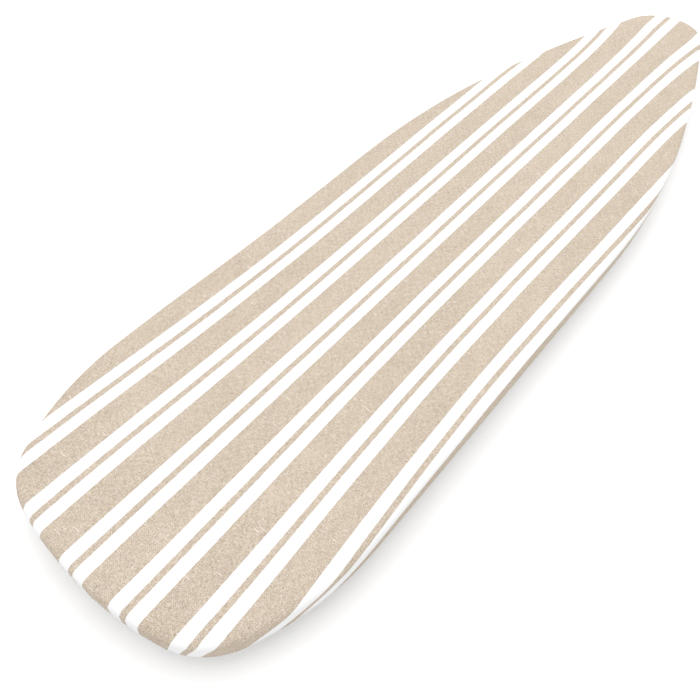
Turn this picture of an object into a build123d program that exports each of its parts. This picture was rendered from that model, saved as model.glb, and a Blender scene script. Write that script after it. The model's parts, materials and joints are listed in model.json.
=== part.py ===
"""Full-size folding ironing board: a padded and covered steel top on scissor legs, folded flat for storage.

Frame: +X to the narrow nose, +Y to the left edge, +Z up. The soles of the four feet lie on Z = 0, and the
origin is below the middle of the covered top. All sizes are in millimetres.
"""

import os
from math import cos, radians, sin

from build123d import *

os.makedirs("parts", exist_ok=True)

# Plan outline of the steel top: tangent arcs from the tail's middle round to the nose, as (radius, turn)
TAIL_END = (435.0, 13.0)
TAIL_CORNER = (85.0, 51.1)
HAUNCH = (337.0, 25.4)
SIDE_LENGTH = 493.0
SHOULDER = (1355.0, 14.0)
TAPER = (2895.0, 6.3)

# Heights of the layers of the top, folded on the floor
STEEL = 1.2  # wall of every formed steel strip
SHEET_Z = 49.0  # underside of the vented sheet
SHEET_THICKNESS = 1.0
PAD_THICKNESS = 6.0
COVER_THICKNESS = 1.8
COVER_GROW = 2.0  # how far the cover stands out from the steel all round
COVER_GAP = 0.2
RIM_DEPTH = 16.0
RIM_FLANGE = 12.0
COVER_RETURN = 22.0  # how far the cover is turned in underneath
TOP_EDGE_RADIUS = 7.0
ELASTIC_WIDTH, ELASTIC_THICKNESS = 8.0, 1.0

# Vents of the sheet: diamonds in staggered rows
VENT_LENGTH, VENT_WIDTH = 84.0, 24.0
VENT_PITCH_X, VENT_PITCH_Y = 104.0, 40.0
VENT_MARGIN = 18.0

# Scissor legs, both of the same length, so that the top stays level
LEG_LENGTH = 1080.0
PIVOT_TO_SCISSOR = 558.0
TUBE_R, TUBE_WALL = 10.0, 1.2
PIVOT_X = -632.0  # top pivot of the outer leg
SLIDE_X = PIVOT_X + 2 * PIVOT_TO_SCISSOR  # sliding axle of the inner leg
SCISSOR_X = PIVOT_X + PIVOT_TO_SCISSOR
OUTER_FOOT_X = PIVOT_X + LEG_LENGTH
INNER_FOOT_X = SLIDE_X - LEG_LENGTH
TUBE_Z = 38.0
BAR_Z = 13.0
OUTER_TUBE_Y = 64.0
INNER_TUBE_Y = 41.0
TUBE_TAIL = 11.0  # tube left beyond the foot bar's axis
AXLE_R = 5.0
RUNNING = 0.1  # radial clearance of a shaft in its hole
RIVET_R, RIVET_HEAD_R, RIVET_HEAD = 4.0, 7.0, 1.8
BRACE_R = 6.0
BRACE_X = (-420.0, -120.0)

# Feet: swivelling rubber ends on the foot bars, with flat soles
OUTER_BAR_HALF, INNER_BAR_HALF = 106.0, 150.0
FOOT_GRIP = 30.0  # length of bar inside a foot
FOOT_END = 4.0
FOOT_R = 12.5

# Rails, lock rod and the sliding lock
RAIL_INNER_Y, RAIL_OUTER_Y = 77.0, 88.0
RAIL_HALF_HEIGHT = 11.0
RAIL_X = (-652.0, 500.0)
GLIDE_R = 9.5
GLIDE_Y = (78.0, 86.0)
AXLE_END_Y = 93.0
BUSH_R, BUSH_FLANGE_R, BUSH_FLANGE = 7.0, 9.0, 2.0
RIB_X = (-420.0, -130.0, 160.0)
RIB_WIDTH, RIB_DEPTH = 20.0, 8.0
ROD_R, ROD_Z = 3.5, 28.0
ROD_X = (14.0, 541.0)
BRACKET_X = (25.0, 530.0)
BRACKET_HALF_WIDTH = 12.0
CARRIAGE_HALF_WIDTH = 16.0
LEVER_X, LEVER_Z = SLIDE_X + 18.0, 43.0  # pin of the lock plate
LEVER_TILT = 8.0  # lean of the lock plate while it grips the rod
LEVER_ARM = 29.0
LEVER_HALF_WIDTH = 58.0
PLATE_THICKNESS = 3.0
PLATE_HALF_WIDTH, PLATE_NECK = 12.0, 7.0
PLATE_HOLE_R = 3.9
PIN_R = 2.0
KNUCKLE_R = 3.7  # rolled eye of the lock plate round its pin
LEVER_BAR_R, LEVER_GRIP_R = 3.0, 6.0

SIDES = {"left": 1, "right": -1}


def outline_steps(grow):
    """Tangent pieces of the left half outline: (radius or None, turn or length, start point, start heading)."""
    x, y, heading = -grow, 0.0, 90.0
    steps = []
    pieces = [TAIL_END, TAIL_CORNER, HAUNCH, (None, SIDE_LENGTH), SHOULDER, TAPER]
    for radius, amount in pieces:
        steps.append((radius and radius + grow, amount, (x, y), heading))
        if radius is None:
            x += amount * cos(radians(heading))
            y += amount * sin(radians(heading))
            continue
        after = heading - amount
        x += (radius + grow) * (sin(radians(heading)) - sin(radians(after)))
        y += (radius + grow) * (cos(radians(after)) - cos(radians(heading)))
        heading = after
    nose_radius = y / cos(radians(heading))
    steps.append((nose_radius, heading + 90, (x, y), heading))
    return steps


def covered_length():
    """Length of the covered top, tail to nose."""
    radius, _, (x, _), heading = outline_steps(COVER_GROW)[-1]
    return x + radius * (sin(radians(heading)) + 1) + COVER_GROW


TAIL_X = COVER_GROW - covered_length() / 2  # tail end of the steel, with the covered top centred on X = 0


def outline(grow):
    """Face of the top's plan outline, grown outwards from the steel's edge."""
    with BuildSketch() as plan:
        with BuildLine():
            for radius, amount, (x, y), heading in outline_steps(grow):
                start = (x + TAIL_X, y)
                if radius is None:
                    PolarLine(start, amount, heading)
                    continue
                centre = (start[0] + radius * sin(radians(heading)), y - radius * cos(radians(heading)))
                CenterArc(centre, radius, heading + 90, -amount)
            mirror(about=Plane.XZ)
        make_face()
    return plan.sketch


def half_width(x, grow):
    """Half width of the outline at X."""
    for radius, amount, (start_x, start_y), heading in reversed(outline_steps(grow)):
        along = x - TAIL_X - start_x
        if along < 0:
            continue
        if radius is None:
            return start_y + along * sin(radians(heading)) / cos(radians(heading))
        sine = sin(radians(heading)) - along / radius
        if sine < -1:
            return 0.0
        return start_y + radius * ((1 - sine * sine) ** 0.5 - cos(radians(heading)))
    return 0.0


def side_plane(y):
    """Plane across the board at that Y, with X and Z as its axes. Extrusions from it run towards -Y."""
    return Plane.XZ.offset(-y)


def save(piece, name):
    """Labels a finished piece and writes its STEP file."""
    piece.part.label = name
    export_step(piece.part, f"parts/{name}.step")


# ---------------------------------------------------------------- padded top

with BuildPart() as rim_channel:
    bottom = SHEET_Z - RIM_DEPTH
    with BuildSketch(Plane.XY.offset(bottom)):
        add(outline(0))
        add(outline(-STEEL), mode=Mode.SUBTRACT)
    extrude(amount=RIM_DEPTH)
    for flange_z in (bottom, SHEET_Z - STEEL):
        with BuildSketch(Plane.XY.offset(flange_z)):
            add(outline(0))
            add(outline(-RIM_FLANGE), mode=Mode.SUBTRACT)
        extrude(amount=STEEL)
save(rim_channel, "rim_channel")


def vent_centres():
    """Centres of the diamonds that lie wholly inside the sheet's margin."""
    rows = int(half_width(0, 0) / VENT_PITCH_Y * 2)
    columns = int(covered_length() / VENT_PITCH_X) + 1
    for row in range(-rows, rows + 1):
        y = row * VENT_PITCH_Y / 2
        shift = VENT_PITCH_X / 2 if row % 2 else 0
        for column in range(-columns, columns + 1):
            x = column * VENT_PITCH_X + shift
            reach = [x - VENT_LENGTH / 2, x, x + VENT_LENGTH / 2]
            if min(half_width(at, -VENT_MARGIN) for at in reach) > abs(y) + VENT_WIDTH / 2:
                yield x, y


with BuildPart() as top_sheet:
    with BuildSketch(Plane.XY.offset(SHEET_Z)):
        add(outline(-1))
        with Locations(*vent_centres()):
            Polygon(
                (-VENT_LENGTH / 2, 0),
                (0, -VENT_WIDTH / 2),
                (VENT_LENGTH / 2, 0),
                (0, VENT_WIDTH / 2),
                mode=Mode.SUBTRACT,
            )
    extrude(amount=SHEET_THICKNESS)
save(top_sheet, "top_sheet")

PAD_Z = SHEET_Z + SHEET_THICKNESS
with BuildPart() as pad:
    with BuildSketch(Plane.XY.offset(PAD_Z)):
        add(outline(0))
    extrude(amount=PAD_THICKNESS)
    fillet(pad.faces().sort_by(Axis.Z)[-1].edges(), TOP_EDGE_RADIUS - COVER_THICKNESS - COVER_GAP)
save(pad, "pad")

CAVITY_TOP = PAD_Z + PAD_THICKNESS + COVER_GAP
COVER_TOP = CAVITY_TOP + COVER_THICKNESS
RIM_BOTTOM = SHEET_Z - RIM_DEPTH
COVER_BOTTOM = RIM_BOTTOM - COVER_GAP - COVER_THICKNESS

with BuildPart() as cover_cavity:
    with BuildSketch(Plane.XY.offset(RIM_BOTTOM - COVER_GAP)):
        add(outline(COVER_GROW - COVER_THICKNESS))
    extrude(amount=CAVITY_TOP - RIM_BOTTOM + COVER_GAP)
    fillet(cover_cavity.faces().sort_by(Axis.Z)[-1].edges(), TOP_EDGE_RADIUS - COVER_THICKNESS)

with BuildPart() as cover:
    with BuildSketch(Plane.XY.offset(COVER_BOTTOM)):
        add(outline(COVER_GROW))
    extrude(amount=COVER_TOP - COVER_BOTTOM)
    fillet(cover.faces().sort_by(Axis.Z)[-1].edges(), TOP_EDGE_RADIUS)
    add(cover_cavity.part, mode=Mode.SUBTRACT)
    with BuildSketch(Plane.XY.offset(COVER_BOTTOM)):
        add(outline(-COVER_RETURN))
    extrude(amount=RIM_BOTTOM - COVER_BOTTOM, mode=Mode.SUBTRACT)
save(cover, "cover")

with BuildPart() as hem_elastic:
    with BuildSketch(Plane.XY.offset(COVER_BOTTOM - ELASTIC_THICKNESS)):
        add(outline(ELASTIC_WIDTH - COVER_RETURN))
        add(outline(-COVER_RETURN), mode=Mode.SUBTRACT)
    extrude(amount=ELASTIC_THICKNESS)
save(hem_elastic, "hem_elastic")


# ---------------------------------------------------------------- rails and ribs under the sheet

RAIL_BOTTOM = TUBE_Z - RAIL_HALF_HEIGHT


def slide_rail(side):
    """C channel, open towards the middle, that guides a glide and carries the outer leg's pivot bush."""
    web_y = sorted((side * RAIL_OUTER_Y, side * (RAIL_OUTER_Y - STEEL)))
    flange_y = sorted((side * RAIL_OUTER_Y, side * RAIL_INNER_Y))
    with BuildPart() as rail:
        with BuildSketch(Plane.YZ.offset(RAIL_X[0])):
            with Locations((sum(web_y) / 2, TUBE_Z)):
                Rectangle(STEEL, 2 * RAIL_HALF_HEIGHT)
            for z in (RAIL_BOTTOM + STEEL / 2, SHEET_Z - STEEL / 2):
                with Locations((sum(flange_y) / 2, z)):
                    Rectangle(RAIL_OUTER_Y - RAIL_INNER_Y, STEEL)
        extrude(amount=RAIL_X[1] - RAIL_X[0])
        with BuildSketch(side_plane(web_y[1])):
            with Locations((PIVOT_X, TUBE_Z)):
                Circle(BUSH_R)
        extrude(amount=STEEL, mode=Mode.SUBTRACT)
    return rail


def pivot_bush(side):
    """Flanged plastic bush in the rail's web, in which the outer leg's axle turns."""
    web_outer = side * RAIL_OUTER_Y
    web_inner = side * (RAIL_OUTER_Y - STEEL)
    flange_inner = side * (RAIL_OUTER_Y - STEEL - BUSH_FLANGE)
    with BuildPart() as bush:
        for radius, ends in ((BUSH_R, (web_outer, web_inner)), (BUSH_FLANGE_R, (web_inner, flange_inner))):
            with BuildSketch(side_plane(max(ends))):
                with Locations((PIVOT_X, TUBE_Z)):
                    Circle(radius)
                    Circle(AXLE_R + RUNNING, mode=Mode.SUBTRACT)
            extrude(amount=max(ends) - min(ends))
    return bush


for name, side in SIDES.items():
    save(slide_rail(side), f"slide_rail_{name}")
    save(pivot_bush(side), f"pivot_bush_{name}")


def cross_ribs(x):
    """Pair of L strips that hold the sheet up between a rail and the rim, left and right."""
    with BuildPart() as ribs:
        with BuildSketch(Plane.XY.offset(SHEET_Z - STEEL)):
            for side in SIDES.values():
                with Locations((x, side * (RAIL_OUTER_Y + half_width(x, 0)) / 2)):
                    Rectangle(RIB_WIDTH, half_width(x, 0) - RAIL_OUTER_Y)
        extrude(amount=STEEL)
        with BuildSketch(Plane.XY.offset(SHEET_Z - RIB_DEPTH)):
            for side in SIDES.values():
                with Locations((x - (RIB_WIDTH - STEEL) / 2, side * (RAIL_OUTER_Y + half_width(x, 0)) / 2)):
                    Rectangle(STEEL, half_width(x, 0) - RAIL_OUTER_Y)
        extrude(amount=RIB_DEPTH)
        with BuildSketch(Plane.XY.offset(SHEET_Z - RIB_DEPTH)):
            add(outline(-RIM_FLANGE - COVER_GAP))
        extrude(amount=RIB_DEPTH, mode=Mode.INTERSECT)
    return ribs


for name, x in zip(("tail", "middle", "nose"), RIB_X):
    save(cross_ribs(x), f"cross_ribs_{name}")


# ---------------------------------------------------------------- lock rod

with BuildPart() as lock_rod:
    with BuildSketch(Plane.YZ.offset(ROD_X[0])):
        with Locations((0, ROD_Z)):
            Circle(ROD_R)
    extrude(amount=ROD_X[1] - ROD_X[0])
    chamfer(lock_rod.faces().filter_by(Axis.X).edges(), 0.6)
save(lock_rod, "lock_rod")


def rod_bracket(x, foot_direction):
    """L bracket that hangs from the sheet and holds one end of the lock rod."""
    foot_length = 12.0
    with BuildPart() as bracket:
        with BuildSketch(side_plane(BRACKET_HALF_WIDTH)):
            bottom = ROD_Z - ROD_R - 1
            with Locations((x, (SHEET_Z + bottom) / 2)):
                Rectangle(STEEL, SHEET_Z - bottom)
            with Locations((x + foot_direction * foot_length / 2, SHEET_Z - STEEL / 2)):
                Rectangle(foot_length, STEEL)
        extrude(amount=2 * BRACKET_HALF_WIDTH)
        with BuildSketch(Plane.YZ.offset(x - STEEL)):
            with Locations((0, ROD_Z)):
                Circle(ROD_R)
        extrude(amount=2 * STEEL, mode=Mode.SUBTRACT)
    return bracket


save(rod_bracket(BRACKET_X[0], -1), "rod_bracket_tail")
save(rod_bracket(BRACKET_X[1], 1), "rod_bracket_nose")

RETAINER_R, RETAINER_LENGTH = 4.5, 3.0
with BuildPart() as rod_retainers:
    for x in (BRACKET_X[0] - STEEL / 2 - RETAINER_LENGTH, BRACKET_X[1] + STEEL / 2):
        with BuildSketch(Plane.YZ.offset(x)):
            with Locations((0, ROD_Z)):
                Circle(RETAINER_R)
                Circle(ROD_R, mode=Mode.SUBTRACT)
        extrude(amount=RETAINER_LENGTH)
save(rod_retainers, "rod_retainers")


# ---------------------------------------------------------------- leg frames


def leg_tube(y, top_x, foot_x, top_hole_r, scissor_hole_r):
    """Round leg tube with a rounded top end, cross drilled for its axle and for the scissor rivet."""
    towards_foot = 1 if foot_x > top_x else -1
    end_x = foot_x + towards_foot * TUBE_TAIL
    with BuildPart() as tube:
        with BuildSketch(Plane.YZ.offset(min(top_x, end_x))):
            with Locations((y, TUBE_Z)):
                Circle(TUBE_R)
                Circle(TUBE_R - TUBE_WALL, mode=Mode.SUBTRACT)
        extrude(amount=abs(end_x - top_x))
        # rounded end beyond the axle, so that it turns clear of the sheet above
        with BuildSketch(Plane.YZ.offset(min(top_x, top_x - towards_foot * TUBE_R))):
            with Locations((y, TUBE_Z)):
                Circle(TUBE_R)
                Circle(TUBE_R - TUBE_WALL, mode=Mode.SUBTRACT)
        extrude(amount=TUBE_R)
        with BuildSketch(side_plane(y + TUBE_R)):
            with Locations((top_x, TUBE_Z)):
                Circle(TUBE_R)
            with Locations(((top_x + end_x) / 2, TUBE_Z)):
                Rectangle(abs(end_x - top_x), 2 * TUBE_R)
        extrude(amount=2 * TUBE_R, mode=Mode.INTERSECT)
        with BuildSketch(side_plane(y + TUBE_R)):
            with Locations((top_x, TUBE_Z)):
                Circle(top_hole_r)
            with Locations((SCISSOR_X, TUBE_Z)):
                Circle(scissor_hole_r)
        extrude(amount=2 * TUBE_R, mode=Mode.SUBTRACT)
    return tube


def cross_rod(x, z, half_length, radius, bore=0.0):
    """Round bar or tube across the board."""
    with BuildPart() as rod:
        with BuildSketch(side_plane(half_length)):
            with Locations((x, z)):
                Circle(radius)
                if bore:
                    Circle(bore, mode=Mode.SUBTRACT)
        extrude(amount=2 * half_length)
    return rod


def rings(x, z, spans, radius, bore):
    """Pair of rings across the board, one on each side, each filling the span of Y given for the left."""
    with BuildPart() as pair:
        for near, far in (spans, (-spans[1], -spans[0])):
            with BuildSketch(side_plane(far)):
                with Locations((x, z)):
                    Circle(radius)
                    Circle(bore, mode=Mode.SUBTRACT)
            extrude(amount=far - near)
    return pair


def foot_saddles(x, tube_y):
    """Two welded saddle blocks that join the leg tubes to the foot bar below them."""
    length, width, low, high = 18.0, 16.0, 18.0, 33.0
    with BuildPart() as saddles:
        with BuildSketch(Plane.XY.offset(low)):
            with Locations((x, tube_y), (x, -tube_y)):
                RectangleRounded(length, width, 2)
        extrude(amount=high - low)
        with BuildSketch(side_plane(tube_y + width)):
            with Locations((x, BAR_Z)):
                Circle(TUBE_R)
        extrude(amount=2 * (tube_y + width), mode=Mode.SUBTRACT)
        with BuildSketch(Plane.YZ.offset(x - length)):
            with Locations((tube_y, TUBE_Z), (-tube_y, TUBE_Z)):
                Circle(TUBE_R)
        extrude(amount=2 * length, mode=Mode.SUBTRACT)
    return saddles


def tube_plugs(foot_x, towards_foot, tube_y):
    """Plastic plugs in the foot ends of a leg's two tubes: a stem inside and a domed head outside."""
    stem, head = 12.0, 2.5
    end_x = foot_x + towards_foot * TUBE_TAIL
    stem_x = min(end_x, end_x - towards_foot * stem)
    head_x = min(end_x, end_x + towards_foot * head)
    with BuildPart() as plugs:
        for start, length, radius in ((stem_x, stem, TUBE_R - TUBE_WALL), (head_x, head, TUBE_R)):
            with BuildSketch(Plane.YZ.offset(start)):
                with Locations((tube_y, TUBE_Z), (-tube_y, TUBE_Z)):
                    Circle(radius)
            extrude(amount=length)
        ends = plugs.faces().filter_by(Axis.X).sort_by(Axis.X)
        outer_faces = ends[-2:] if towards_foot > 0 else ends[:2]
        fillet(outer_faces.edges(), head - 0.7)
    return plugs


TUBE_BORE = TUBE_R - TUBE_WALL
for name, side in SIDES.items():
    save(leg_tube(side * OUTER_TUBE_Y, PIVOT_X, OUTER_FOOT_X, AXLE_R, RIVET_R), f"outer_leg_tube_{name}")
    save(leg_tube(side * INNER_TUBE_Y, SLIDE_X, INNER_FOOT_X, AXLE_R, RIVET_R + RUNNING), f"inner_leg_tube_{name}")

save(cross_rod(PIVOT_X, TUBE_Z, AXLE_END_Y, AXLE_R), "pivot_axle")
spacer_span = (OUTER_TUBE_Y + TUBE_R, RAIL_OUTER_Y - STEEL - BUSH_FLANGE - 3 * RUNNING)
save(rings(PIVOT_X, TUBE_Z, spacer_span, BUSH_R, AXLE_R), "pivot_spacers")
save(rings(PIVOT_X, TUBE_Z, (RAIL_OUTER_Y + 1, AXLE_END_Y), BUSH_R + 1, AXLE_R), "pivot_end_caps")
save(cross_rod(OUTER_FOOT_X, BAR_Z, OUTER_BAR_HALF, TUBE_R, TUBE_BORE), "outer_foot_bar")
save(foot_saddles(OUTER_FOOT_X, OUTER_TUBE_Y), "outer_foot_saddles")
save(tube_plugs(OUTER_FOOT_X, 1, OUTER_TUBE_Y), "outer_tube_plugs")

with BuildPart() as scissor_rivets:
    outer_face, inner_face = OUTER_TUBE_Y + TUBE_R, INNER_TUBE_Y - TUBE_R
    heads_and_shank = (
        (outer_face + RIVET_HEAD, outer_face, RIVET_HEAD_R),
        (outer_face, inner_face - RUNNING, RIVET_R),
        (inner_face - RUNNING, inner_face - RUNNING - RIVET_HEAD, RIVET_HEAD_R),
    )
    for far, near, radius in heads_and_shank:
        for high, low in ((far, near), (-near, -far)):
            with BuildSketch(side_plane(high)):
                with Locations((SCISSOR_X, TUBE_Z)):
                    Circle(radius)
            extrude(amount=high - low)
save(scissor_rivets, "scissor_rivets")
washer_span = (INNER_TUBE_Y + TUBE_R + 3 * RUNNING, OUTER_TUBE_Y - TUBE_R)
save(rings(SCISSOR_X, TUBE_Z, washer_span, RIVET_HEAD_R + 2, RIVET_R), "scissor_washers")

save(cross_rod(SLIDE_X, TUBE_Z, GLIDE_Y[1], AXLE_R), "slide_axle")
save(rings(SLIDE_X, TUBE_Z, GLIDE_Y, GLIDE_R, AXLE_R), "rail_glides")
save(cross_rod(INNER_FOOT_X, BAR_Z, INNER_BAR_HALF, TUBE_R, TUBE_BORE), "inner_foot_bar")
save(foot_saddles(INNER_FOOT_X, INNER_TUBE_Y), "inner_foot_saddles")
save(tube_plugs(INNER_FOOT_X, -1, INNER_TUBE_Y), "inner_tube_plugs")

for name, x in zip(("lower", "upper"), BRACE_X):
    with BuildPart() as brace:
        with BuildSketch(side_plane(INNER_TUBE_Y)):
            with Locations((x, TUBE_Z)):
                Circle(BRACE_R)
                Circle(BRACE_R - STEEL, mode=Mode.SUBTRACT)
        extrude(amount=2 * INNER_TUBE_Y)
        with BuildSketch(Plane.YZ.offset(x - 2 * BRACE_R)):
            with Locations((INNER_TUBE_Y, TUBE_Z), (-INNER_TUBE_Y, TUBE_Z)):
                Circle(TUBE_R)
        extrude(amount=4 * BRACE_R, mode=Mode.SUBTRACT)
    save(brace, f"inner_brace_{name}")


# ---------------------------------------------------------------- swivelling feet


def swivel_foot(x, bar_half, side):
    """Rubber foot that turns on the end of a foot bar, with a flat grooved sole."""
    outer_end = bar_half + FOOT_END
    inner_end = bar_half - FOOT_GRIP
    high = max(side * outer_end, side * inner_end)
    groove_width, groove_depth, groove_pitch = 2.0, 1.2, 6.5
    with BuildPart() as foot:
        with BuildSketch(side_plane(high)):
            with Locations((x, BAR_Z)):
                Circle(FOOT_R)
            with Locations((x, BAR_Z / 2)):
                Rectangle(2 * FOOT_R, BAR_Z)
        extrude(amount=outer_end - inner_end)
        end_faces = foot.faces().filter_by(Axis.Y)
        fillet(end_faces.edges().group_by(Axis.Z)[-1], 1.5)
        with BuildSketch(side_plane(max(side * inner_end, side * (bar_half + RUNNING)))):
            with Locations((x, BAR_Z)):
                Circle(TUBE_R + RUNNING)
        extrude(amount=FOOT_GRIP + RUNNING, mode=Mode.SUBTRACT)
        with BuildSketch(side_plane(high)):
            with GridLocations(groove_pitch, 1, 3, 1):
                with Locations((x, groove_depth / 2)):
                    Rectangle(groove_width, groove_depth)
        extrude(amount=outer_end - inner_end, mode=Mode.SUBTRACT)
    return foot


for name, side in SIDES.items():
    save(swivel_foot(OUTER_FOOT_X, OUTER_BAR_HALF, side), f"outer_foot_{name}")
    save(swivel_foot(INNER_FOOT_X, INNER_BAR_HALF, side), f"inner_foot_{name}")


# ---------------------------------------------------------------- sliding lock and its lever

CARRIAGE_X = (SLIDE_X - 14.0, SLIDE_X + 12.0)
CARRIAGE_Z = (ROD_Z - ROD_R - 1.0, 46.0)
EAR_HALF, EAR_THICKNESS = 5.0, 3.5

with BuildPart() as carriage_block:
    with BuildSketch(side_plane(CARRIAGE_HALF_WIDTH)):
        with Locations(((CARRIAGE_X[0] + CARRIAGE_X[1]) / 2, sum(CARRIAGE_Z) / 2)):
            RectangleRounded(CARRIAGE_X[1] - CARRIAGE_X[0], CARRIAGE_Z[1] - CARRIAGE_Z[0], 2)
    extrude(amount=2 * CARRIAGE_HALF_WIDTH)
    ear_end = LEVER_X + EAR_HALF
    ear_reach = ear_end - CARRIAGE_X[1] + 4
    for high in (CARRIAGE_HALF_WIDTH, EAR_THICKNESS - CARRIAGE_HALF_WIDTH):
        with BuildSketch(side_plane(high)):
            with Locations((ear_end - ear_reach / 2, LEVER_Z)):
                RectangleRounded(ear_reach, 2 * EAR_HALF, 1.5)
        extrude(amount=EAR_THICKNESS)
    with BuildSketch(side_plane(CARRIAGE_HALF_WIDTH)):
        with Locations((SLIDE_X, TUBE_Z)):
            Circle(AXLE_R + RUNNING)
        with Locations((LEVER_X, LEVER_Z)):
            Circle(PIN_R)
    extrude(amount=2 * CARRIAGE_HALF_WIDTH, mode=Mode.SUBTRACT)
    with BuildSketch(Plane.YZ.offset(CARRIAGE_X[0])):
        with Locations((0, ROD_Z)):
            Circle(ROD_R + 3 * RUNNING)
    extrude(amount=CARRIAGE_X[1] - CARRIAGE_X[0], mode=Mode.SUBTRACT)
save(carriage_block, "carriage_block")

save(cross_rod(LEVER_X, LEVER_Z, CARRIAGE_HALF_WIDTH, PIN_R), "lever_pin")

with BuildPart() as lever_spring:
    wire, coil = 0.6, 3.4
    for turn in range(6):
        side = 1 if turn < 3 else -1
        y = side * (PLATE_NECK + 1.6 + turn % 3 * (2 * wire + 0.1))
        with BuildSketch(Plane((LEVER_X, y, LEVER_Z), x_dir=(0, 1, 0), z_dir=(-1, 0, 0))):
            with Locations((0, coil)):
                Circle(wire)
        revolve(axis=Axis((LEVER_X, y, LEVER_Z), (0, 1, 0)))
save(lever_spring, "lever_spring")

# The lever's own plane: X along the pin, Y up the leaning plate
lean = radians(LEVER_TILT)
LEVER_PLANE = Plane((LEVER_X, 0, LEVER_Z), x_dir=(0, 1, 0), z_dir=(cos(lean), 0, sin(lean)))
ROD_ON_PLATE = (ROD_Z - LEVER_Z) / cos(lean)  # where the rod crosses the leaning plate
bar_centre = LEVER_PLANE.from_local_coords((0, -LEVER_ARM, 0))

with BuildPart() as lock_plate:
    with BuildSketch(LEVER_PLANE.offset(-PLATE_THICKNESS / 2)):
        shoulder = -8.0
        with Locations((0, (shoulder - LEVER_ARM) / 2)):
            Rectangle(2 * PLATE_HALF_WIDTH, shoulder + LEVER_ARM)
        with Locations((0, shoulder / 2)):
            Rectangle(2 * PLATE_NECK, -shoulder)
        with Locations((0, ROD_ON_PLATE)):
            Circle(PLATE_HOLE_R, mode=Mode.SUBTRACT)
    extrude(amount=PLATE_THICKNESS)
    with BuildSketch(side_plane(PLATE_NECK)):
        with Locations((LEVER_X, LEVER_Z)):
            Circle(KNUCKLE_R)
    extrude(amount=2 * PLATE_NECK)
    for (x, z), radius in (((LEVER_X, LEVER_Z), PIN_R + RUNNING), ((bar_centre.X, bar_centre.Z), LEVER_BAR_R)):
        with BuildSketch(side_plane(PLATE_HALF_WIDTH)):
            with Locations((x, z)):
                Circle(radius)
        extrude(amount=2 * PLATE_HALF_WIDTH, mode=Mode.SUBTRACT)
save(lock_plate, "lock_plate")

save(cross_rod(bar_centre.X, bar_centre.Z, LEVER_HALF_WIDTH - 2, LEVER_BAR_R), "lever_bar")

with BuildPart() as lever_grips:
    for low, high in ((PLATE_HALF_WIDTH + 2, LEVER_HALF_WIDTH), (-LEVER_HALF_WIDTH, -PLATE_HALF_WIDTH - 2)):
        with BuildSketch(side_plane(high)):
            with Locations((bar_centre.X, bar_centre.Z)):
                Circle(LEVER_GRIP_R)
        extrude(amount=high - low)
    fillet(lever_grips.faces().filter_by(Axis.Y).edges(), 1.5)
    with BuildSketch(side_plane(LEVER_HALF_WIDTH - 2)):
        with Locations((bar_centre.X, bar_centre.Z)):
            Circle(LEVER_BAR_R)
    extrude(amount=2 * (LEVER_HALF_WIDTH - 2), mode=Mode.SUBTRACT)
save(lever_grips, "lever_grips")
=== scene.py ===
"""Looks of a folded ironing board: a striped cotton cover on a felt pad, over a painted steel frame."""

import json
import math

import bmesh
import bpy
import numpy as np
from mathutils import Euler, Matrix, Vector, geometry, kdtree


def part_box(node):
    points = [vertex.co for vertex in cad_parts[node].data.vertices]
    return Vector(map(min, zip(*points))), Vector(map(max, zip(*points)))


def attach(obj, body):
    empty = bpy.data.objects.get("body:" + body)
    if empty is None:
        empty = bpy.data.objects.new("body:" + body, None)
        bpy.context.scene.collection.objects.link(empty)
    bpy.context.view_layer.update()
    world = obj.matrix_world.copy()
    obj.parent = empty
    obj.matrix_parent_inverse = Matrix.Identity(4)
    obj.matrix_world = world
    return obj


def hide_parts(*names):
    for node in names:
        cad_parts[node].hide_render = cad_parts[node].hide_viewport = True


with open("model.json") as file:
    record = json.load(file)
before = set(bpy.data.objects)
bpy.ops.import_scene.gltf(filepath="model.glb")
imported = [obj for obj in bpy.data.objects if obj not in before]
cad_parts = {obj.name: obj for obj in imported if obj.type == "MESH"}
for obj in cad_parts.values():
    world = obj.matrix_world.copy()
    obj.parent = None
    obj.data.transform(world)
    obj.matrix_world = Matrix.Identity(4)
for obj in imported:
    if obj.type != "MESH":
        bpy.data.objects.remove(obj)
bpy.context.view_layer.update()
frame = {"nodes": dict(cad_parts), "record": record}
MM = 0.001

# ---------------------------------------------------------------- the cover's outline, taken from the frame

EDGE_POINTS = 640
TOP_ROUND = 7 * MM
BOTTOM_ROUND = 2.5 * MM
COVER_LOW, COVER_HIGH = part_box("cover")
BAND_LOW, BAND_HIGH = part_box("hem_elastic")
PAD_LOW, PAD_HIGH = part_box("pad")
BAND_WIDTH = 8 * MM
BAND_INSET = COVER_HIGH.y - BAND_HIGH.y
HEM_INSET = BAND_INSET + BAND_WIDTH


def node_outline(node):
    """Outermost loop of a convex node in plan, as evenly spaced points and smoothed outward normals."""
    corners = np.array([v.co[:] for v in frame["nodes"][node].data.vertices])[:, :2]
    hull = np.array([corners[i] for i in geometry.convex_hull_2d([Vector(p) for p in corners])])
    loop = np.vstack([hull, hull[:1]])
    step = np.linalg.norm(np.diff(loop, axis=0), axis=1)
    along = np.concatenate([[0], np.cumsum(step)])
    at = np.linspace(0, along[-1], EDGE_POINTS, endpoint=False)
    points = np.stack([np.interp(at, along, loop[:, k]) for k in (0, 1)], axis=1)
    clockwise = np.cross(points[0], points[EDGE_POINTS // 8]) < 0
    if clockwise:
        points = points[::-1]
    points = smooth_loop(points, 3)
    tangent = np.roll(points, -1, axis=0) - np.roll(points, 1, axis=0)
    normal = np.stack([tangent[:, 1], -tangent[:, 0]], axis=1)
    normal = smooth_loop(normal / np.linalg.norm(normal, axis=1)[:, None], 4)
    return points, normal / np.linalg.norm(normal, axis=1)[:, None]


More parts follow.
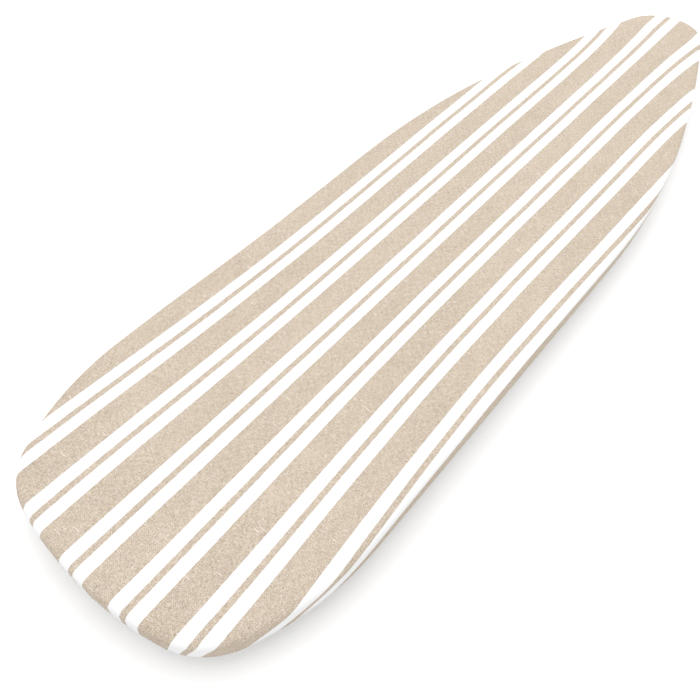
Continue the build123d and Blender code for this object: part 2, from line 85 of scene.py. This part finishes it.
def smooth_loop(values, rounds):
    """Closed list of rows, each averaged with its neighbours a few times."""
    for _ in range(rounds):
        values = (np.roll(values, 1, axis=0) + 2 * values + np.roll(values, -1, axis=0)) / 4
    return values


EDGE, NORMAL = node_outline("cover")
# Shares of the spacing: between the rows of a triangular grid, and between the grid and the outline
ROW_STEP = 0.866
EDGE_MARGIN = 0.6
SAME_POINT = 1e-7


def interior(loop, spacing):
    """Triangles that fill a loop, with staggered points inside it."""
    tree = kdtree.KDTree(len(loop))
    for i, (x, y) in enumerate(loop):
        tree.insert((x, y, 0), i)
    tree.balance()
    low, high = loop.min(axis=0), loop.max(axis=0)
    rows = np.arange(low[1] + spacing / 2, high[1], spacing * ROW_STEP)
    grid = np.array([
        (x, y)
        for row, y in enumerate(rows)
        for x in np.arange(low[0] + (spacing / 2 if row % 2 else 0), high[0], spacing)
    ])
    n = len(loop)
    inside = np.zeros(len(grid), bool)
    for (ax, ay), (bx, by) in zip(loop, np.roll(loop, -1, axis=0)):
        crosses = (ay > grid[:, 1]) != (by > grid[:, 1])
        with np.errstate(divide="ignore", invalid="ignore"):
            at = (bx - ax) * (grid[:, 1] - ay) / (by - ay) + ax
        inside ^= crosses & (grid[:, 0] < at)
    grid = grid[inside]
    edge_distance = np.array([tree.find((x, y, 0))[2] for x, y in grid])
    grid = grid[edge_distance > EDGE_MARGIN * spacing]
    points = [Vector(p) for p in np.vstack([loop, grid])]
    edges = [(i, (i + 1) % n) for i in range(n)]
    filled = geometry.delaunay_2d_cdt(points, edges, [], 1, SAME_POINT)
    return np.array([p[:] for p in filled[0]]), [tuple(face) for face in filled[2]], n


def ring_mesh(name, profile, fill_first=False, fill_last=False, cyclic=False, spacing=10 * MM):
    """Mesh of rings that follow the outline, with the place of each point in the flat cloth.

    profile is a list of (inset, z), and the first and last ring can be filled in.
    """
    verts, faces, flats, rings = [], [], [], []
    run = 0.0
    for k, (inset, z) in enumerate(profile):
        ring = EDGE - NORMAL * inset
        if k == 0 and fill_first:
            points, tris, n = interior(ring, spacing)
            verts += [(x, y, z) for x, y in points]
            flats += [(x, y) for x, y in points]
            faces += tris
            rings.append(list(range(n)))
            continue
        if k > 0:
            before = profile[k - 1]
            run += math.hypot(inset - before[0], z - before[1])
        flat = EDGE + NORMAL * (run - profile[0][0])
        start = len(verts)
        rings.append(list(range(start, start + EDGE_POINTS)))
        verts += [(x, y, z) for x, y in ring]
        flats += [tuple(p) for p in flat]
    pairs = list(zip(rings, rings[1:]))
    if cyclic:
        pairs.append((rings[-1], rings[0]))
    for inner, outer in pairs:
        for i in range(EDGE_POINTS):
            j = (i + 1) % EDGE_POINTS
            faces.append((inner[i], outer[i], outer[j], inner[j]))
    if fill_last:
        z = profile[-1][1]
        points, tris, n = interior(EDGE - NORMAL * profile[-1][0], spacing)
        start = len(verts)
        extra = [(x, y, z) for x, y in points[n:]]
        verts += extra
        flats += [(x, y) for x, y, _ in extra]
        index = rings[-1] + list(range(start, start + len(extra)))
        faces += [tuple(index[i] for i in reversed(t)) for t in tris]
    mesh = bpy.data.meshes.new(name)
    mesh.from_pydata(verts, [], faces)
    obj = bpy.data.objects.new(name, mesh)
    bpy.context.scene.collection.objects.link(obj)
    tidy_normals(mesh)
    return obj, np.array(flats), rings


def tidy_normals(mesh):
    """Faces turned outwards and shaded smooth."""
    bm = bmesh.new()
    bm.from_mesh(mesh)
    bmesh.ops.recalc_face_normals(bm, faces=bm.faces)
    for f in bm.faces:
        f.smooth = True
    bm.to_mesh(mesh)
    bm.free()


STRIPE_PERIOD = 66.2 * MM  # one repeat of the stripes as woven
# Polynomials in the distance along the board (m, highest power first), in mm: the width of one repeat as
# pulled, and the line that the middle repeat runs on
PULLED_PERIOD = (160.1, 88.07, -55.6, -2.63, 12.25, 65.42)
MIDDLE_LINE = (-3.65, -0.41, -8.15)
PULLED_FROM, PULLED_TO = -0.67, 0.62
# At places along the board (m), how much wider the repeats are on one side than on the other (mm)
LEAN_X, LEAN = (-0.60, 0.30, 0.57), (0.45, 0.40, -1.80)


def spread_stripes(flats):
    """The hem pulls the cloth wider towards the nose and the tail, so the stripes part a little there."""
    x = np.clip(flats[:, 0], PULLED_FROM, PULLED_TO)
    period = np.polyval(PULLED_PERIOD, x) * MM
    middle = np.polyval(MIDDLE_LINE, x) * MM
    lean = np.interp(x, LEAN_X, LEAN) * MM
    turns = (flats[:, 1] - middle) / period
    turns -= lean * turns**2 / period
    return np.column_stack([flats[:, 0], turns * STRIPE_PERIOD])


def store_flat(obj, flats):
    """Keeps where each point lies in the flat cloth, so that stripes and weave follow the cloth."""
    at = obj.data.attributes.new("cloth", "FLOAT_VECTOR", "POINT")
    at.data.foreach_set("vector", np.column_stack([flats, np.zeros(len(flats))]).ravel())


def arc(inset, z, radius, start, end, steps):
    """Points of a rounded edge in (inset, z); 90 degrees is up and 0 is outwards."""
    angles = np.radians(np.linspace(start, end, steps + 1))
    return [(inset - radius * math.cos(a), z + radius * math.sin(a)) for a in angles]


# ---------------------------------------------------------------- cover

TOP_STEPS = 6
cover_profile = (
    arc(TOP_ROUND, COVER_HIGH.z - TOP_ROUND, TOP_ROUND, 90, 0, TOP_STEPS)
    + [(0.0, z) for z in np.linspace(COVER_HIGH.z - TOP_ROUND, COVER_LOW.z + BOTTOM_ROUND, 5)[1:-1]]
    + arc(BOTTOM_ROUND, COVER_LOW.z + BOTTOM_ROUND, BOTTOM_ROUND, 0, -90, 2)
    + [(inset, COVER_LOW.z) for inset in np.linspace(BOTTOM_ROUND, HEM_INSET, 5)[1:]]
)
cover, cover_flat, cover_rings = ring_mesh("striped_cover", cover_profile, fill_first=True, spacing=9 * MM)
CLOTH_THICKNESS = 0.8 * MM
CORE_GAP = 0.9 * MM  # from the cover down to the solid core that it settles on
TOUCH_DISTANCE = 0.6 * MM
TOP_GRIP = 0.02  # of the felt on the flat top, where 1 is pinned
SETTLE_FRAMES = 22
SHIFT_LIMIT = 1.4 * MM  # furthest that the cloth may settle
SWELL_LIMIT = 0.35 * MM  # furthest that it may stand out sideways


def fit_cloth(obj, flats, rings):
    """Lets the flat-cut cloth settle on the board, so that spare cloth puckers under the hem's pull."""
    rest = np.array([v.co[:] for v in obj.data.vertices])
    obj.shape_key_add(name="fitted")
    cut = obj.shape_key_add(name="cut")
    for i, (x, y) in enumerate(flats):
        cut.data[i].co = (x, y, COVER_HIGH.z)
    held = obj.vertex_groups.new(name="held")
    held.add([i for ring in rings[-2:] for i in ring], 1.0, "REPLACE")
    flat_top = sorted(set(range(len(rest))) - {i for ring in rings for i in ring})
    held.add(flat_top, TOP_GRIP, "REPLACE")
    core_base = COVER_LOW.z + 3 * MM
    core_profile = [(inset + CORE_GAP, z - CORE_GAP) for inset, z in cover_profile[: TOP_STEPS + 1]]
    core_profile += [(CORE_GAP, core_base), (HEM_INSET + 4 * MM, core_base)]
    core, _, _ = ring_mesh("core", core_profile, True, True, spacing=24 * MM)
    core.modifiers.new("hit", "COLLISION")
    core.collision.thickness_outer = TOUCH_DISTANCE
    core.collision.thickness_inner = 4 * MM
    core.collision.cloth_friction = 12
    mod = obj.modifiers.new("cloth", "CLOTH")
    cloth = mod.settings
    cloth.quality = 6
    cloth.mass = 0.2
    cloth.tension_stiffness = cloth.compression_stiffness = 18
    cloth.shear_stiffness = 4
    cloth.bending_stiffness = 0.05
    cloth.tension_damping = cloth.compression_damping = cloth.shear_damping = 12
    cloth.air_damping = 4
    cloth.vertex_group_mass = "held"
    cloth.pin_stiffness = 1.0
    cloth.rest_shape_key = cut
    cloth.effector_weights.gravity = 0
    mod.collision_settings.use_collision = True
    mod.collision_settings.distance_min = TOUCH_DISTANCE
    mod.collision_settings.use_self_collision = False
    obj.active_shape_key_index = 0
    obj.show_only_shape_key = False
    cut.value = 0.0
    scene = bpy.context.scene
    mod.point_cache.frame_start, mod.point_cache.frame_end = 1, SETTLE_FRAMES
    for number in range(1, SETTLE_FRAMES + 1):
        scene.frame_set(number)
    deps = bpy.context.evaluated_depsgraph_get()
    moved = np.array([v.co[:] for v in obj.evaluated_get(deps).data.vertices])
    scene.frame_set(1)
    shift = soft_limit(moved - rest, -SHIFT_LIMIT, SHIFT_LIMIT)
    outwards = np.zeros((len(rest), 2))
    for ring in rings:
        outwards[ring] = NORMAL
    # the hem keeps the stripes in line and lets nothing swell outwards
    swell = soft_limit((shift[:, :2] * outwards).sum(axis=1), -SHIFT_LIMIT, SWELL_LIMIT)
    shift[:, :2] = outwards * swell[:, None]
    obj.modifiers.remove(mod)
    obj.shape_key_clear()
    obj.vertex_groups.clear()
    bpy.data.objects.remove(core)
    obj.data.vertices.foreach_set("co", (rest + shift).ravel())
    obj.data.update()


def soft_limit(values, low, high):
    """Values eased into a range that holds zero."""
    return np.where(values > 0, high * np.tanh(values / high), low * np.tanh(values / low))


fit_cloth(cover, cover_flat, cover_rings)
store_flat(cover, spread_stripes(cover_flat))
solid = cover.modifiers.new("thickness", "SOLIDIFY")
solid.thickness = CLOTH_THICKNESS
solid.offset = -1

# the cloth turns down from the flat top, and its cut is larger than the top by that turn all round
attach(cover, "board")
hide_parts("cover")

# ---------------------------------------------------------------- felt pad

PAD_ROUND = 4.5 * MM
PAD_BASE_ROUND = 1.2 * MM
PAD_GAP = 0.2 * MM  # between the felt and the cloth over it
PAD_DENT = 0.15 * MM
PAD_INSET = (COVER_HIGH.y - PAD_HIGH.y) + PAD_GAP
pad_profile = (
    arc(PAD_INSET + PAD_ROUND, PAD_HIGH.z - PAD_ROUND, PAD_ROUND, 90, 0, 4)
    + arc(PAD_INSET + PAD_BASE_ROUND, PAD_LOW.z + PAD_BASE_ROUND, PAD_BASE_ROUND, 0, -90, 2)
)
pad, _, _ = ring_mesh("felt_pad", pad_profile, True, True, spacing=14 * MM)
for v in pad.data.vertices:
    dent = math.sin(v.co.x * 61) * math.sin(v.co.y * 53 + 1) * PAD_DENT
    if v.co.z > PAD_HIGH.z - PAD_GAP:
        v.co.z += dent - PAD_GAP
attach(pad, "board")
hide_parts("pad")

# ---------------------------------------------------------------- gathered hem with its elastic

BAND_MIDDLE = BAND_INSET + BAND_WIDTH / 2
GATHER = 0.25 * MM  # height of the small folds that the elastic pulls into the hem
band_profile = [
    (BAND_INSET, BAND_HIGH.z),
    (BAND_INSET, BAND_LOW.z + 0.3 * MM),
    (BAND_MIDDLE, BAND_LOW.z + 0.1 * MM),
    (BAND_INSET + BAND_WIDTH, BAND_LOW.z + 0.3 * MM),
    (BAND_INSET + BAND_WIDTH, BAND_HIGH.z),
    (BAND_MIDDLE, BAND_HIGH.z + 0.05 * MM),
]
band, band_flat, band_rings = ring_mesh("hem_band", band_profile, cyclic=True)
for ring in band_rings[1:4]:
    for i, index in enumerate(ring):
        band.data.vertices[index].co.z += GATHER * math.sin(i * math.pi / 2) * math.sin(i * 0.37)
store_flat(band, band_flat)
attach(band, "board")
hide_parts("hem_elastic")

# ---------------------------------------------------------------- lever spring, a coil each side of the lock

PIN_LOW, PIN_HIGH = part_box("lever_pin")
PIN = (PIN_LOW + PIN_HIGH) / 2
COIL_R, WIRE_R = 3.1 * MM, 0.55 * MM
COIL_START = 8.4 * MM  # from the middle of the pin to the first turn
COIL_PITCH = 2.15 * WIRE_R
TURNS, STEPS_PER_TURN = 3, 20


def tube_along(name, path, radius, sides=10):
    """Closed tube mesh along a list of points."""
    path = [Vector(p) for p in path]
    last = len(path) - 1
    verts, faces = [], []
    up = Vector((0, 1, 0.1)).normalized()
    for i, p in enumerate(path):
        tangent = (path[min(i + 1, last)] - path[max(i - 1, 0)]).normalized()
        a = tangent.cross(up).normalized()
        b = tangent.cross(a)
        for k in range(sides):
            angle = 2 * math.pi * k / sides
            verts.append(p + radius * (math.cos(angle) * a + math.sin(angle) * b))
    for i in range(last):
        here, there = i * sides, (i + 1) * sides
        for k in range(sides):
            j = (k + 1) % sides
            faces.append((here + k, here + j, there + j, there + k))
    faces.append(tuple(range(sides)))
    faces.append(tuple(reversed(range(last * sides, (last + 1) * sides))))
    mesh = bpy.data.meshes.new(name)
    mesh.from_pydata(verts, [], faces)
    tidy_normals(mesh)
    return mesh


def coil_path(side):
    """Turns round the pin, with a short leg at each end."""
    points = [(PIN.x - COIL_R, side * COIL_START, PIN.z - 6 * MM)]
    for i in range(TURNS * STEPS_PER_TURN + 1):
        angle = math.pi + 2 * math.pi * i / STEPS_PER_TURN
        y = side * (COIL_START + COIL_PITCH * i / STEPS_PER_TURN)
        points.append((PIN.x + COIL_R * math.cos(angle), y, PIN.z + COIL_R * math.sin(angle)))
    points.append((PIN.x - COIL_R, points[-1][1], PIN.z + 0.1 * MM))
    return points


springs = []
for side, label in ((1, "left"), (-1, "right")):
    mesh = tube_along(f"return_spring_{label}", coil_path(side), WIRE_R)
    spring = bpy.data.objects.new(f"return_spring_{label}", mesh)
    bpy.context.scene.collection.objects.link(spring)
    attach(spring, "carriage")
    springs.append(spring)
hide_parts("lever_spring")

# ---------------------------------------------------------------- materials


class Nodes:
    """Short calls for building a shader tree. Inputs are sockets or plain numbers."""

    def __init__(self, name):
        self.material = bpy.data.materials.new(name)
        self.material.use_nodes = True
        self.tree = self.material.node_tree
        self.shader = self.tree.nodes["Principled BSDF"]

    def link(self, a, b):
        self.tree.links.new(a, b)

    def put(self, socket, value):
        if isinstance(value, bpy.types.NodeSocket):
            self.link(value, socket)
        else:
            socket.default_value = value

    def add(self, kind, **settings):
        node = self.tree.nodes.new(kind)
        for key, value in settings.items():
            setattr(node, key, value)
        return node

    def math(self, operation, a, b=None, c=None):
        node = self.add("ShaderNodeMath", operation=operation)
        for socket, value in zip(node.inputs, (a, b, c)):
            if value is not None:
                self.put(socket, value)
        return node.outputs[0]

    def add_up(self, a, b):
        return self.math("ADD", a, b)

    def times(self, a, b):
        return self.math("MULTIPLY", a, b)

    def about_zero(self, noise):
        """Noise, whose middle is 0.5, moved to lie about zero."""
        return self.math("SUBTRACT", noise, 0.5)

    def scaled(self, vector, scale, offset=(0, 0, 0)):
        """Coordinates for noise, where scale is in cells per metre along each axis."""
        node = self.add("ShaderNodeMapping")
        self.put(node.inputs["Vector"], vector)
        node.inputs["Scale"].default_value = scale
        node.inputs["Location"].default_value = offset
        return node.outputs[0]

    def noise(self, vector, detail=2.0, roughness=0.5, distortion=0.0):
        node = self.add("ShaderNodeTexNoise")
        self.put(node.inputs["Vector"], vector)
        node.inputs["Scale"].default_value = 1.0
        node.inputs["Detail"].default_value = detail
        node.inputs["Roughness"].default_value = roughness
        node.inputs["Distortion"].default_value = distortion
        return node.outputs["Fac"]

    def ramp(self, value, stops):
        """Colours along a value, as (value, colour) stops."""
        node = self.add("ShaderNodeValToRGB")
        self.put(node.inputs[0], value)
        ramp = node.color_ramp
        while len(ramp.elements) > 1:
            ramp.elements.remove(ramp.elements[-1])
        ramp.elements[0].position, ramp.elements[0].color = stops[0][0], rgba(stops[0][1])
        for at, colour in stops[1:]:
            ramp.elements.new(at).color = rgba(colour)
        return node.outputs[0]

    def map(self, value, a, b, c=0.0, d=1.0):
        """Value eased from c to d while it goes from a to b."""
        node = self.add("ShaderNodeMapRange", interpolation_type="SMOOTHSTEP")
        for socket, v in zip(node.inputs, (value, a, b, c, d)):
            self.put(socket, v)
        return node.outputs[0]

    def mix(self, factor, a, b):
        node = self.add("ShaderNodeMix", data_type="RGBA")
        self.put(node.inputs[0], factor)
        for socket, value in ((node.inputs[6], a), (node.inputs[7], b)):
            self.put(socket, rgba(value) if isinstance(value, (tuple, list)) else value)
        return node.outputs[2]

    def bump(self, height, distance, strength=1.0):
        node = self.add("ShaderNodeBump")
        self.put(node.inputs["Height"], height)
        node.inputs["Distance"].default_value = distance
        node.inputs["Strength"].default_value = strength
        return node.outputs[0]


def rgba(colour):
    return tuple(colour) + (1.0,)


# Where the bands of one repeat start and end, as shares of it
BEIGE_START, BEIGE_END, WHITE_END, THIN_END = -0.0085, 0.4865, 0.6905, 0.7900
STRIPE_SOFT = 0.006
WHOLE_TURNS = 8.0  # keeps the count of repeats above zero all over the cloth
THREAD_PITCH = 1.3 * MM
WEAVE_SHARE, BLOTCH_SHARE, DRIFT_SHARE = 0.28, 0.66, 0.38
BEIGE_DARK = (0.273, 0.224, 0.174)
BEIGE_MID = (0.360, 0.299, 0.237)
BEIGE_LIGHT = (0.458, 0.394, 0.325)
BEIGE_WARM = (0.408, 0.322, 0.230)
SLUB_LIGHT = (0.62, 0.58, 0.51)
WHITE_LIGHT = (0.625, 0.625, 0.628)
WHITE_SHADE = (0.595, 0.595, 0.595)
WHITE_SPECK = (0.34, 0.35, 0.37)
FELT_DARK, FELT_LIGHT = (0.62, 0.60, 0.55), (0.82, 0.80, 0.76)
ELASTIC_DARK, ELASTIC_LIGHT = (0.66, 0.65, 0.62), (0.86, 0.86, 0.84)


def cotton():
    """Yarn-dyed cotton in long beige and white bands, with slubs and a heathered weave."""
    n = Nodes("striped_cotton")
    at = n.add("ShaderNodeAttribute", attribute_name="cloth").outputs["Vector"]
    split = n.add("ShaderNodeSeparateXYZ")
    n.link(at, split.inputs[0])
    along, across = split.outputs["X"], split.outputs["Y"]

    # heather: yarn of uneven shade, both ways of the cloth
    warp = n.noise(n.scaled(at, (180, 1600, 1)), 1.5, 0.8)
    weft = n.noise(n.scaled(at, (1600, 180, 1), (3, 7, 0)), 1.5, 0.8)
    heather = n.add_up(n.times(warp, 0.5), n.times(weft, 0.5))
    slub = slub_yarn(n, at)
    beige = beige_yarn(n, at, along, across, heather)
    beige = n.mix(n.times(slub, 0.55), beige, SLUB_LIGHT)
    colour = n.mix(stripe_mask(n, at, across), white_yarn(n, at, heather), beige)
    n.link(colour, n.shader.inputs["Base Color"])

    warp_relief = n.noise(n.scaled(at, (260, 1900, 1)), 1)
    weft_relief = n.noise(n.scaled(at, (1900, 260, 1)), 1)
    relief = n.add_up(n.add_up(warp_relief, weft_relief), n.times(slub, 0.5))
    n.link(n.bump(relief, 0.12 * MM, 0.5), n.shader.inputs["Normal"])
    n.link(n.map(heather, 0.2, 0.8, 0.78, 0.92), n.shader.inputs["Roughness"])
    n.shader.inputs["Sheen Weight"].default_value = 0.02
    n.shader.inputs["Sheen Roughness"].default_value = 0.5
    n.shader.inputs["Specular IOR Level"].default_value = 0.12
    return n.material


def stripe_mask(n, at, across):
    """1 in the wide and the thin beige bands and 0 in the white, with edges that wander and fray."""
    wander = n.times(n.about_zero(n.noise(n.scaled(at, (7, 20, 1)), 1)), 1.6 * MM)
    fray = n.times(n.about_zero(n.noise(n.scaled(at, (160, 500, 1)), 2)), 1.0 * MM)
    place = n.add_up(n.add_up(across, wander), fray)
    turns = n.math("SUBTRACT", WHOLE_TURNS - BEIGE_START, n.math("DIVIDE", place, STRIPE_PERIOD))
    phase = n.add_up(n.math("FRACT", turns), BEIGE_START)

    def past(edge):
        """Eases from 0 to 1 over the soft edge of a band."""
        return n.map(phase, edge - STRIPE_SOFT, edge + STRIPE_SOFT)

    wide_end = n.math("SUBTRACT", 1.0, past(BEIGE_END))
    wide_start = n.map(phase, BEIGE_START, BEIGE_START + STRIPE_SOFT)
    thin = n.math("SUBTRACT", past(WHITE_END), past(THIN_END))
    return n.add_up(n.times(wide_end, wide_start), thin)


def beige_yarn(n, at, along, across, heather):
    """Beige in three shades and a warmer one, by weave, yarn, blotches and a slow drift, with pale flecks."""
    # plain weave: warp over weft, then weft over warp, on threads that sway by up to 5 radians
    sway = n.times(n.noise(n.scaled(at, (60, 60, 1), (4, 8, 0)), 1), 5.0)
    over = n.math("SINE", n.math("MULTIPLY_ADD", along, math.pi / THREAD_PITCH, sway))
    under = n.math("SINE", n.math("MULTIPLY_ADD", across, math.pi / THREAD_PITCH, sway))
    blotch = n.noise(n.scaled(at, (32, 60, 1), (5, 2, 0)), 3, 0.6)
    drift = n.noise(n.scaled(at, (5, 9, 1), (1, 9, 0)), 1)
    level = n.math("MULTIPLY_ADD", n.times(over, under), WEAVE_SHARE, n.map(heather, 0.42, 0.58))
    level = n.math("MULTIPLY_ADD", n.about_zero(blotch), BLOTCH_SHARE, level)
    level = n.math("MULTIPLY_ADD", n.about_zero(drift), DRIFT_SHARE, level)
    beige = n.ramp(level, [(0.0, BEIGE_DARK), (0.5, BEIGE_MID), (1.0, BEIGE_LIGHT)])
    warm = n.noise(n.scaled(at, (450, 420, 1), (8, 3, 0)), 1)
    beige = n.mix(n.map(warm, 0.50, 0.70, 0.0, 0.55), beige, BEIGE_WARM)
    fleck = n.noise(n.scaled(at, (900, 1050, 1), (6, 15, 0)), 1, 0.6)
    return n.mix(n.map(fleck, 0.58, 0.67, 0.0, 0.75), beige, SLUB_LIGHT)


def slub_yarn(n, at):
    """1 on the thick pale slubs: in patches in the weft, and fewer and fainter in the warp."""
    weft = n.noise(n.scaled(at, (620, 62, 1), (11, 4, 0)), 1, 0.4)
    patches = n.noise(n.scaled(at, (30, 26, 1), (2, 13, 0)), 1)
    warp = n.noise(n.scaled(at, (70, 560, 1), (17, 1, 0)), 1, 0.4)
    weft_slubs = n.times(n.map(weft, 0.67, 0.73), n.map(patches, 0.47, 0.57))
    warp_slubs = n.times(n.map(warp, 0.74, 0.80), 0.6)
    return n.math("MINIMUM", n.add_up(weft_slubs, warp_slubs), 1.0)


def white_yarn(n, at, heather):
    """White that shades a little with the yarn, and has a few grey specks."""
    white = n.mix(n.times(n.map(heather, 0.3, 0.7), 0.5), WHITE_LIGHT, WHITE_SHADE)
    speck = n.noise(n.scaled(at, (210, 230, 1), (9, 9, 0)), 0)
    return n.mix(n.times(n.map(speck, 0.80, 0.85), 0.35), white, WHITE_SPECK)


def plain(
    name, colour, roughness, grain, vary, rough_vary, bump,
    metallic=0.0, stretch=(1, 1, 1), dust=None, coat=0.0,
):
    """A solid material with fine grain, slow colour drift and scuffs.

    grain is in cells per metre, bump in mm, and vary and rough_vary say how far colour and roughness stray.
    """
    n = Nodes(name)
    at = n.add("ShaderNodeTexCoord").outputs["Object"]
    fine = n.noise(n.scaled(at, tuple(grain * s for s in stretch)), 3, 0.6)
    slow = n.noise(n.scaled(at, (14, 14, 14)), 3, 0.5)
    dark = tuple(c * (1 - 2.2 * vary) for c in colour)
    light = tuple(min(1.0, c * (1 + 1.6 * vary)) for c in colour)
    level = n.add_up(n.times(fine, 0.35), n.times(slow, 0.65))
    tone = n.ramp(level, [(0.3, dark), (0.5, colour), (0.72, light)])
    scuff = n.map(n.noise(n.scaled(at, (35, 160, 160), (4, 4, 4)), 4, 0.65), 0.66, 0.74)
    if dust is not None:
        tone = n.mix(n.times(scuff, 0.45), tone, dust)
    n.link(tone, n.shader.inputs["Base Color"])
    rough = n.map(level, 0.3, 0.7, roughness - rough_vary, roughness + rough_vary)
    n.link(n.add_up(rough, n.times(scuff, 0.1)), n.shader.inputs["Roughness"])
    n.link(n.bump(fine, bump * MM, 0.6), n.shader.inputs["Normal"])
    n.shader.inputs["Metallic"].default_value = metallic
    n.shader.inputs["Coat Weight"].default_value = coat
    return n.material


def felt():
    """Needled felt: tangled fibres in soft clumps."""
    n = Nodes("needled_felt")
    at = n.add("ShaderNodeTexCoord").outputs["Object"]
    fibre = n.noise(n.scaled(at, (700, 700, 700)), 4, 0.7, 1.5)
    clump = n.noise(n.scaled(at, (60, 60, 60)), 3)
    level = n.add_up(n.times(fibre, 0.6), n.times(clump, 0.4))
    tone = n.ramp(level, [(0.3, FELT_DARK), (0.7, FELT_LIGHT)])
    n.link(tone, n.shader.inputs["Base Color"])
    n.link(n.bump(fibre, 0.3 * MM), n.shader.inputs["Normal"])
    n.link(n.map(clump, 0.3, 0.7, 0.88, 0.98), n.shader.inputs["Roughness"])
    n.shader.inputs["Sheen Weight"].default_value = 0.3
    return n.material


def webbing():
    """Off-white knitted elastic."""
    n = Nodes("hem_elastic")
    at = n.add("ShaderNodeAttribute", attribute_name="cloth").outputs["Vector"]
    rib = n.noise(n.scaled(at, (700, 700, 1)), 2)
    tone = n.ramp(rib, [(0.3, ELASTIC_DARK), (0.7, ELASTIC_LIGHT)])
    n.link(tone, n.shader.inputs["Base Color"])
    n.link(n.bump(rib, 0.25 * MM), n.shader.inputs["Normal"])
    n.link(n.map(rib, 0.3, 0.7, 0.75, 0.9), n.shader.inputs["Roughness"])
    n.shader.inputs["Sheen Weight"].default_value = 0.2
    return n.material


MATERIALS = {
    "cover_cotton": cotton(),
    "pad_felt": felt(),
    "hem_webbing": webbing(),
    "top_enamel": plain(
        "white_enamel", (0.72, 0.72, 0.70), roughness=0.36, grain=500, vary=0.03, rough_vary=0.06,
        bump=0.006, dust=(0.52, 0.50, 0.47), coat=0.15,
    ),
    "leg_enamel": plain(
        "grey_enamel", (0.46, 0.47, 0.48), roughness=0.34, grain=650, vary=0.05, rough_vary=0.07,
        bump=0.006, metallic=0.35, dust=(0.30, 0.29, 0.28), coat=0.2,
    ),
    "zinc_steel": plain(
        "zinc_plate", (0.58, 0.59, 0.61), roughness=0.30, grain=300, vary=0.08, rough_vary=0.08,
        bump=0.02, metallic=1.0, stretch=(1, 4, 4), dust=(0.45, 0.44, 0.42),
    ),
    "nylon": plain(
        "natural_nylon", (0.74, 0.72, 0.66), roughness=0.45, grain=700, vary=0.04, rough_vary=0.06,
        bump=0.02,
    ),
    "dark_plastic": plain(
        "dark_plastic", (0.030, 0.031, 0.034), roughness=0.5, grain=1200, vary=0.12, rough_vary=0.08,
        bump=0.05, dust=(0.07, 0.07, 0.07),
    ),
    "foot_rubber": plain(
        "grey_rubber", (0.085, 0.086, 0.09), roughness=0.72, grain=900, vary=0.12, rough_vary=0.08,
        bump=0.08, dust=(0.16, 0.155, 0.15),
    ),
}

slots = {s["node"]: s["material_slot"] for s in frame["record"]["subparts"]}
for name, obj in frame["nodes"].items():
    obj.data.materials.clear()
    obj.data.materials.append(MATERIALS[slots[name]])
cover.data.materials.append(MATERIALS["cover_cotton"])
pad.data.materials.append(MATERIALS["pad_felt"])
band.data.materials.append(MATERIALS["hem_webbing"])
for spring in springs:
    spring.data.materials.append(MATERIALS["zinc_steel"])

# ---------------------------------------------------------------- floor, light and camera

FLOOR_HALF = 14.0
FLOOR_DARK, FLOOR_LIGHT = (0.650, 0.647, 0.643), (0.658, 0.655, 0.651)
FLOOR_GLOW = 0.15
SKY_STRENGTH = 1.47
WHITE = (1.0, 1.0, 1.0)


def floor_material():
    """Matt pale floor that glows a little, so that the shadow on it stays light."""
    n = Nodes("studio_floor")
    at = n.add("ShaderNodeTexCoord").outputs["Object"]
    soft = n.noise(n.scaled(at, (1.2, 1.2, 1)), 2)
    tone = n.ramp(soft, [(0.3, FLOOR_DARK), (0.7, FLOOR_LIGHT)])
    n.link(tone, n.shader.inputs["Base Color"])
    n.shader.inputs["Roughness"].default_value = 0.9
    n.shader.inputs["Specular IOR Level"].default_value = 0.1
    n.shader.inputs["Emission Color"].default_value = rgba(WHITE)
    n.shader.inputs["Emission Strength"].default_value = FLOOR_GLOW
    return n.material


mesh = bpy.data.meshes.new("floor")
corners = [(x * FLOOR_HALF, y * FLOOR_HALF, 0) for x, y in ((-1, -1), (1, -1), (1, 1), (-1, 1))]
mesh.from_pydata(corners, [], [(0, 1, 2, 3)])
floor = bpy.data.objects.new("floor", mesh)
bpy.context.scene.collection.objects.link(floor)
mesh.materials.append(floor_material())
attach(floor, "tail_foot_left")

scene = bpy.context.scene
world = bpy.data.worlds.new("studio")
world.use_nodes = True
sky = world.node_tree.nodes["Background"]
sky.inputs["Color"].default_value = rgba(WHITE)
sky.inputs["Strength"].default_value = SKY_STRENGTH
scene.world = world


def softbox(name, width, height, place, target, power):
    """Large soft rectangular light, seen only by its light."""
    data = bpy.data.lights.new(name, "AREA")
    data.shape = "RECTANGLE"
    data.size, data.size_y = width, height
    data.energy = power
    light = bpy.data.objects.new(name, data)
    light.location = place
    light.rotation_euler = (Vector(target) - light.location).to_track_quat("-Z", "Y").to_euler()
    light.visible_camera = False
    scene.collection.objects.link(light)


softbox("overhead", width=5.5, height=5.5, place=(1.1, 0.8, 3.8), target=(0.8, 0.6, 0.0), power=98)

scene.view_settings.view_transform = "Standard"
scene.view_settings.look = "None"
scene.view_settings.exposure = 0.0
scene.view_settings.gamma = 1.0

camera_data = bpy.data.cameras.new("camera")
camera_data.sensor_width = 36
camera_data.lens = 35.95
camera_data.clip_start = 0.01
camera_data.clip_end = 100
camera = bpy.data.objects.new("camera", camera_data)
# above the tail's right corner, looking down along the ironing face
EYE = Vector((-0.7184, -0.3428, COVER_HIGH.z + 0.6252))
AIM = Vector((-0.3227, -0.0275, COVER_HIGH.z))
ROLL = math.radians(0.47)
camera.location = EYE
look = (AIM - EYE).to_track_quat("-Z", "Y")
camera.rotation_euler = (look @ Euler((0, 0, ROLL)).to_quaternion()).to_euler()
scene.collection.objects.link(camera)
scene.camera = camera

bpy.context.view_layer.update()
